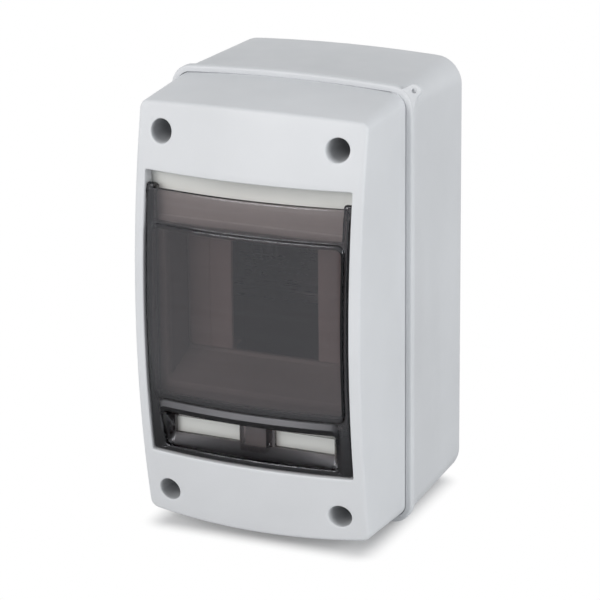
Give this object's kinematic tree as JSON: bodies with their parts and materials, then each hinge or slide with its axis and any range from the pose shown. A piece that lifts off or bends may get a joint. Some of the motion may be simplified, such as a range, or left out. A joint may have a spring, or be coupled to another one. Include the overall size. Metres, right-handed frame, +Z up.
{
  "type": "dc combiner box",
  "caption": "Wall box for rail-mounted devices that join solar strings: deep grey case, domed screwed cover, smoked top-hinged door with finger pocket, rail and terminal bars.",
  "frame": {"origin": "middle of the flat back that goes against the wall", "axes": "+X to the right as seen from the front, +Y from the front towards the wall, +Z up"},
  "size_m": [0.1025, 0.1035, 0.1776],
  "materials": {
    "shell_grey": "light grey moulded plastic, satin",
    "frame_grey": "pale greenish grey moulded plastic, satin",
    "blank_grey": "light grey moulded plastic, satin",
    "smoked_polycarbonate": "smoked clear plastic, polished",
    "seal_black": "black rubber, matt",
    "screw_grey": "grey moulded plastic",
    "zinc_plated_steel": "bright zinc plating",
    "terminal_brass": "bare drawn brass",
    "holder_ivory": "ivory moulded plastic",
    "cap_grey": "grey moulded plastic"
  },
  "bodies": {
    "back": {"back_box": "shell_grey", "cover_gasket": "seal_black", "din_rail": "zinc_plated_steel", "rail_screw_left": "zinc_plated_steel", "rail_screw_right": "zinc_plated_steel", "positive_holder": "holder_ivory", "positive_bar": "terminal_brass", "positive_screw_1": "zinc_plated_steel", "positive_screw_2": "zinc_plated_steel", "positive_screw_3": "zinc_plated_steel", "positive_screw_4": "zinc_plated_steel", "negative_holder": "holder_ivory", "negative_bar": "terminal_brass", "negative_screw_1": "zinc_plated_steel", "negative_screw_2": "zinc_plated_steel", "negative_screw_3": "zinc_plated_steel", "negative_screw_4": "zinc_plated_steel", "earth_holder": "holder_ivory", "earth_bar": "terminal_brass", "earth_screw_1": "zinc_plated_steel", "earth_screw_2": "zinc_plated_steel", "earth_screw_3": "zinc_plated_steel", "earth_screw_4": "zinc_plated_steel", "fixing_cap_top_left": "cap_grey", "fixing_cap_top_right": "cap_grey", "fixing_cap_bottom_left": "cap_grey", "fixing_cap_bottom_right": "cap_grey"},
    "cover": {"front_cover": "shell_grey", "module_frame": "frame_grey", "blank_left": "blank_grey", "blank_right": "blank_grey", "screw_seal_top_left": "seal_black", "screw_seal_top_right": "seal_black", "screw_seal_bottom_left": "seal_black", "screw_seal_bottom_right": "seal_black"},
    "door": {"door": "smoked_polycarbonate"},
    "cover_screw_top_left": {"cover_screw_top_left": "screw_grey"},
    "cover_screw_top_right": {"cover_screw_top_right": "screw_grey"},
    "cover_screw_bottom_left": {"cover_screw_bottom_left": "screw_grey"},
    "cover_screw_bottom_right": {"cover_screw_bottom_right": "screw_grey"}
  },
  "joints": [
    {"name": "cover_lift", "type": "slide", "parent": "back", "child": "cover", "axis": [0, -1, 0], "range_m": [0, 0.12]},
    {"name": "door_hinge", "type": "hinge", "parent": "cover", "child": "door", "pos_m": [0, -0.0933, 0.0482], "axis": [-1, 0, 0], "range_deg": [0, 95]},
    {"name": "cover_screw_top_left_turn", "type": "hinge", "parent": "cover", "child": "cover_screw_top_left", "pos_m": [-0.0357, -0.0595, 0.0717], "axis": [0, -1, 0], "continuous": true},
    {"name": "cover_screw_top_right_turn", "type": "hinge", "parent": "cover", "child": "cover_screw_top_right", "pos_m": [0.0357, -0.0595, 0.0717], "axis": [0, -1, 0], "continuous": true},
    {"name": "cover_screw_bottom_left_turn", "type": "hinge", "parent": "cover", "child": "cover_screw_bottom_left", "pos_m": [-0.0357, -0.0595, -0.0717], "axis": [0, -1, 0], "continuous": true},
    {"name": "cover_screw_bottom_right_turn", "type": "hinge", "parent": "cover", "child": "cover_screw_bottom_right", "pos_m": [0.0357, -0.0595, -0.0717], "axis": [0, -1, 0], "continuous": true}
  ]
}
